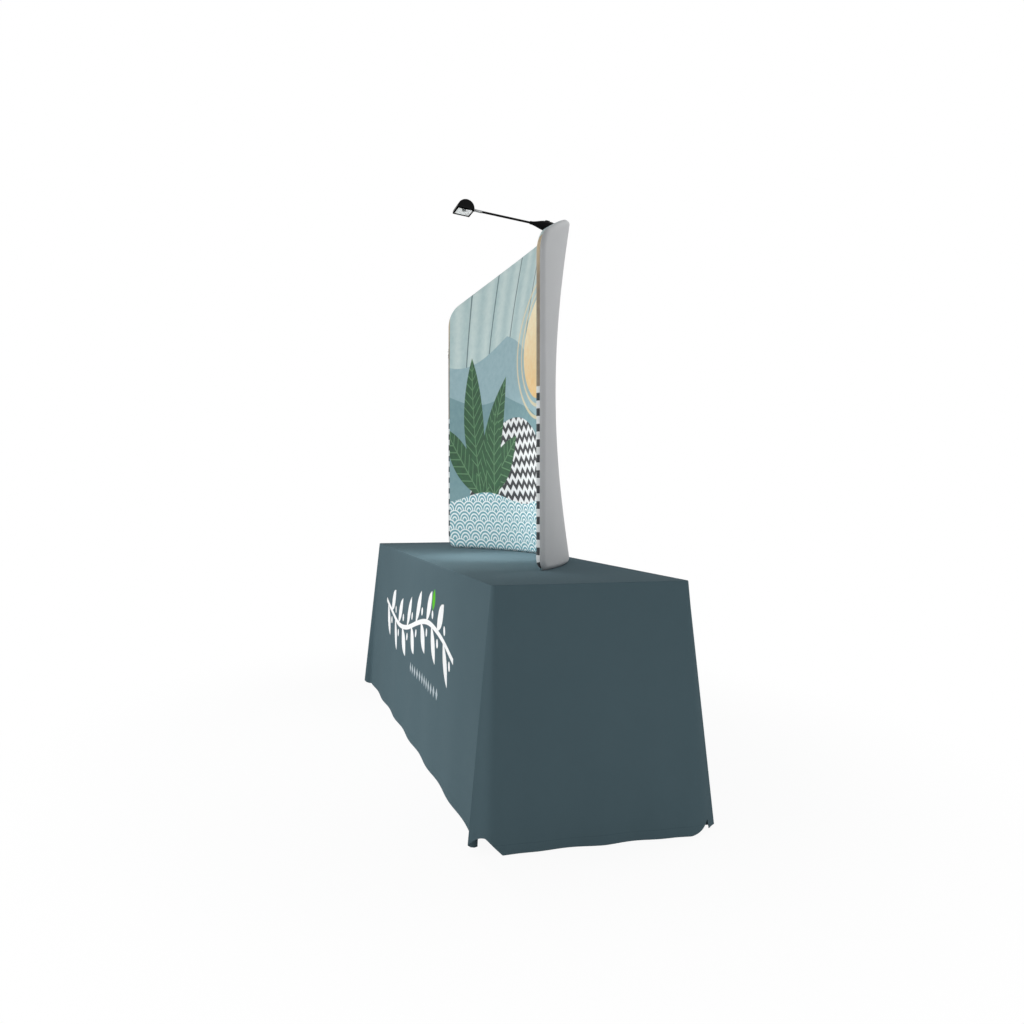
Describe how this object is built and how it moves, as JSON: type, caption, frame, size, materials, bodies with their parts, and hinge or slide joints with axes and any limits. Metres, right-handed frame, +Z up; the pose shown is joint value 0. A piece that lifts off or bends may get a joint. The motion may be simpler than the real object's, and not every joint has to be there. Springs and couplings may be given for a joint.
{
  "type": "tabletop trade show display",
  "caption": "Folding table under a fitted hanging throw, carrying a curved tube-frame fabric display panel with a clamp-on arm lamp over its top edge.",
  "frame": {"origin": "on the floor below the middle of the table", "axes": "+X along the table, to the right seen from its front; +Y from the front to the back; +Z up"},
  "size_m": [2.6136, 0.7656, 2.1825],
  "materials": {
    "board_wood": "satin",
    "steel_grey": "satin",
    "zinc": "satin",
    "black_rubber": "matte",
    "throw_cloth": "matte",
    "tube_alloy": "satin",
    "graphic_fabric": "matte",
    "back_cloth": "matte",
    "zip_nylon": "matte",
    "black_plastic": "satin",
    "board_green": "satin",
    "black_metal": "satin",
    "satin_metal": "satin",
    "reflector_white": "gloss",
    "lens_glass": "clear"
  },
  "bodies": {
    "stand": {"table_board": "board_wood", "board_edging_long": "board_wood", "board_edging_short": "board_wood", "board_battens": "board_wood", "rail_front": "steel_grey", "rail_back": "steel_grey", "rail_screws": "zinc", "brace_bracket_left": "zinc", "brace_bracket_right": "zinc", "table_throw": "throw_cloth", "frame_end_left": "tube_alloy", "frame_end_right": "tube_alloy", "frame_top_tube": "tube_alloy", "frame_bottom_tube": "tube_alloy", "tube_ferrules": "tube_alloy", "front_graphic": "graphic_fabric", "back_fabric": "back_cloth", "zip_chain": "zip_nylon", "clamp_bracket": "black_plastic", "clamp_pin": "zinc"},
    "leg_left": {"leg_frame_left": "steel_grey", "foot_caps_left": "black_rubber"},
    "leg_right": {"leg_frame_right": "steel_grey", "foot_caps_right": "black_rubber"},
    "upper_link_left": {"brace_upper_left": "zinc"},
    "upper_link_right": {"brace_upper_right": "zinc"},
    "lower_link_left": {"brace_lower_left": "zinc"},
    "lower_link_right": {"brace_lower_right": "zinc"},
    "button_top_left": {"snap_button_top_left": "zinc"},
    "button_top_right": {"snap_button_top_right": "zinc"},
    "button_bottom_left": {"snap_button_bottom_left": "zinc"},
    "button_bottom_right": {"snap_button_bottom_right": "zinc"},
    "zip_slider": {"zip_slider": "zinc"},
    "zip_pull": {"zip_pull": "zinc"},
    "clamp_pad": {"clamp_pad": "black_rubber"},
    "clamp_screw": {"clamp_screw": "zinc", "clamp_knob": "black_plastic"},
    "lamp": {"housing_lower": "black_plastic", "housing_upper": "black_plastic", "housing_screws": "zinc", "driver_board": "board_green", "power_inlet": "black_plastic", "switch_bezel": "black_plastic", "lamp_arm": "black_metal", "lamp_neck": "satin_metal"},
    "switch_rocker": {"switch_rocker": "black_plastic"},
    "lamp_head": {"head_hood": "black_metal", "head_pin": "zinc", "head_reflector": "reflector_white", "head_led": "satin_metal", "head_bezel": "black_plastic", "head_lens": "lens_glass"}
  },
  "joints": [
    {"name": "leg_fold_left", "type": "hinge", "parent": "stand", "child": "leg_left", "pos_m": [-1.05, 0, 0.692], "axis": [0, -1, 0], "range_deg": [0, 93]},
    {"name": "upper_link_turn_left", "type": "hinge", "parent": "stand", "child": "upper_link_left", "pos_m": [-0.69, 0.005, 0.712], "axis": [0, 1, 0], "range_deg": [0, 42.08]},
    {"name": "lower_link_turn_left", "type": "hinge", "parent": "leg_left", "child": "lower_link_left", "pos_m": [-1.04573, -0.005, 0.39136], "axis": [0, -1, 0], "range_deg": [0, 45.02]},
    {"name": "button_press_top_left", "type": "slide", "parent": "stand", "child": "button_top_left", "axis": [-0.2494, -0.1059, 0.9626], "range_m": [0, 0.0035], "stiffness_N_per_m": 800, "springref_m": -0.002},
    {"name": "button_press_bottom_left", "type": "slide", "parent": "stand", "child": "button_bottom_left", "axis": [0, 0, -1], "range_m": [0, 0.0035], "stiffness_N_per_m": 800, "springref_m": -0.002},
    {"name": "leg_fold_right", "type": "hinge", "parent": "stand", "child": "leg_right", "pos_m": [1.05, 0, 0.692], "axis": [0, 1, 0], "range_deg": [0, 93]},
    {"name": "upper_link_turn_right", "type": "hinge", "parent": "stand", "child": "upper_link_right", "pos_m": [0.69, 0.005, 0.712], "axis": [0, -1, 0], "range_deg": [0, 42.08]},
    {"name": "lower_link_turn_right", "type": "hinge", "parent": "leg_right", "child": "lower_link_right", "pos_m": [1.04573, -0.005, 0.39136], "axis": [0, 1, 0], "range_deg": [0, 45.02]},
    {"name": "button_press_top_right", "type": "slide", "parent": "stand", "child": "button_top_right", "axis": [0.2494, -0.1059, 0.9626], "range_m": [0, 0.0035], "stiffness_N_per_m": 800, "springref_m": -0.002},
    {"name": "button_press_bottom_right", "type": "slide", "parent": "stand", "child": "button_bottom_right", "axis": [0, 0, -1], "range_m": [0, 0.0035], "stiffness_N_per_m": 800, "springref_m": -0.002},
    {"name": "zip_slide", "type": "slide", "parent": "stand", "child": "zip_slider", "axis": [0, 0, -1], "range_m": [0, 0.866]},
    {"name": "zip_pull_swing", "type": "hinge", "parent": "zip_slider", "child": "zip_pull", "pos_m": [-0.75876, -0.0292, 1.6868], "axis": [-0.6396, 0.7687, 0], "range_deg": [0, 150]},
    {"name": "clamp_screw_turn", "type": "hinge", "parent": "clamp_pad", "child": "clamp_screw", "pos_m": [0, 0.29, 2.05801], "axis": [0, 1, 0], "range_deg": [0, 1440]},
    {"name": "clamp_pad_slide", "type": "slide", "parent": "stand", "child": "clamp_pad", "axis": [0, 1, 0], "range_m": [0, 0.00401]},
    {"name": "lamp_tilt", "type": "hinge", "parent": "stand", "child": "lamp", "pos_m": [0, 0.25373, 2.08691], "axis": [1, 0, 0], "range_deg": [-50, 12]},
    {"name": "head_tilt", "type": "hinge", "parent": "lamp", "child": "lamp_head", "pos_m": [0, -0.07518, 2.15417], "axis": [1, 0, 0], "range_deg": [-40, 40]},
    {"name": "switch_rock", "type": "hinge", "parent": "lamp", "child": "switch_rocker", "pos_m": [0, 0.23716, 2.12804], "axis": [-1, 0, 0], "range_deg": [0, 16]}
  ],
  "couplings": [
    {"joint": "upper_link_turn_left", "follows": "leg_fold_left", "ratio": 0.45193},
    {"joint": "lower_link_turn_left", "follows": "leg_fold_left", "ratio": 0.48355},
    {"joint": "upper_link_turn_right", "follows": "leg_fold_right", "ratio": 0.45193},
    {"joint": "lower_link_turn_right", "follows": "leg_fold_right", "ratio": 0.48355},
    {"joint": "clamp_pad_slide", "follows": "clamp_screw_turn", "m_per_rad": 0.00015915}
  ]
}
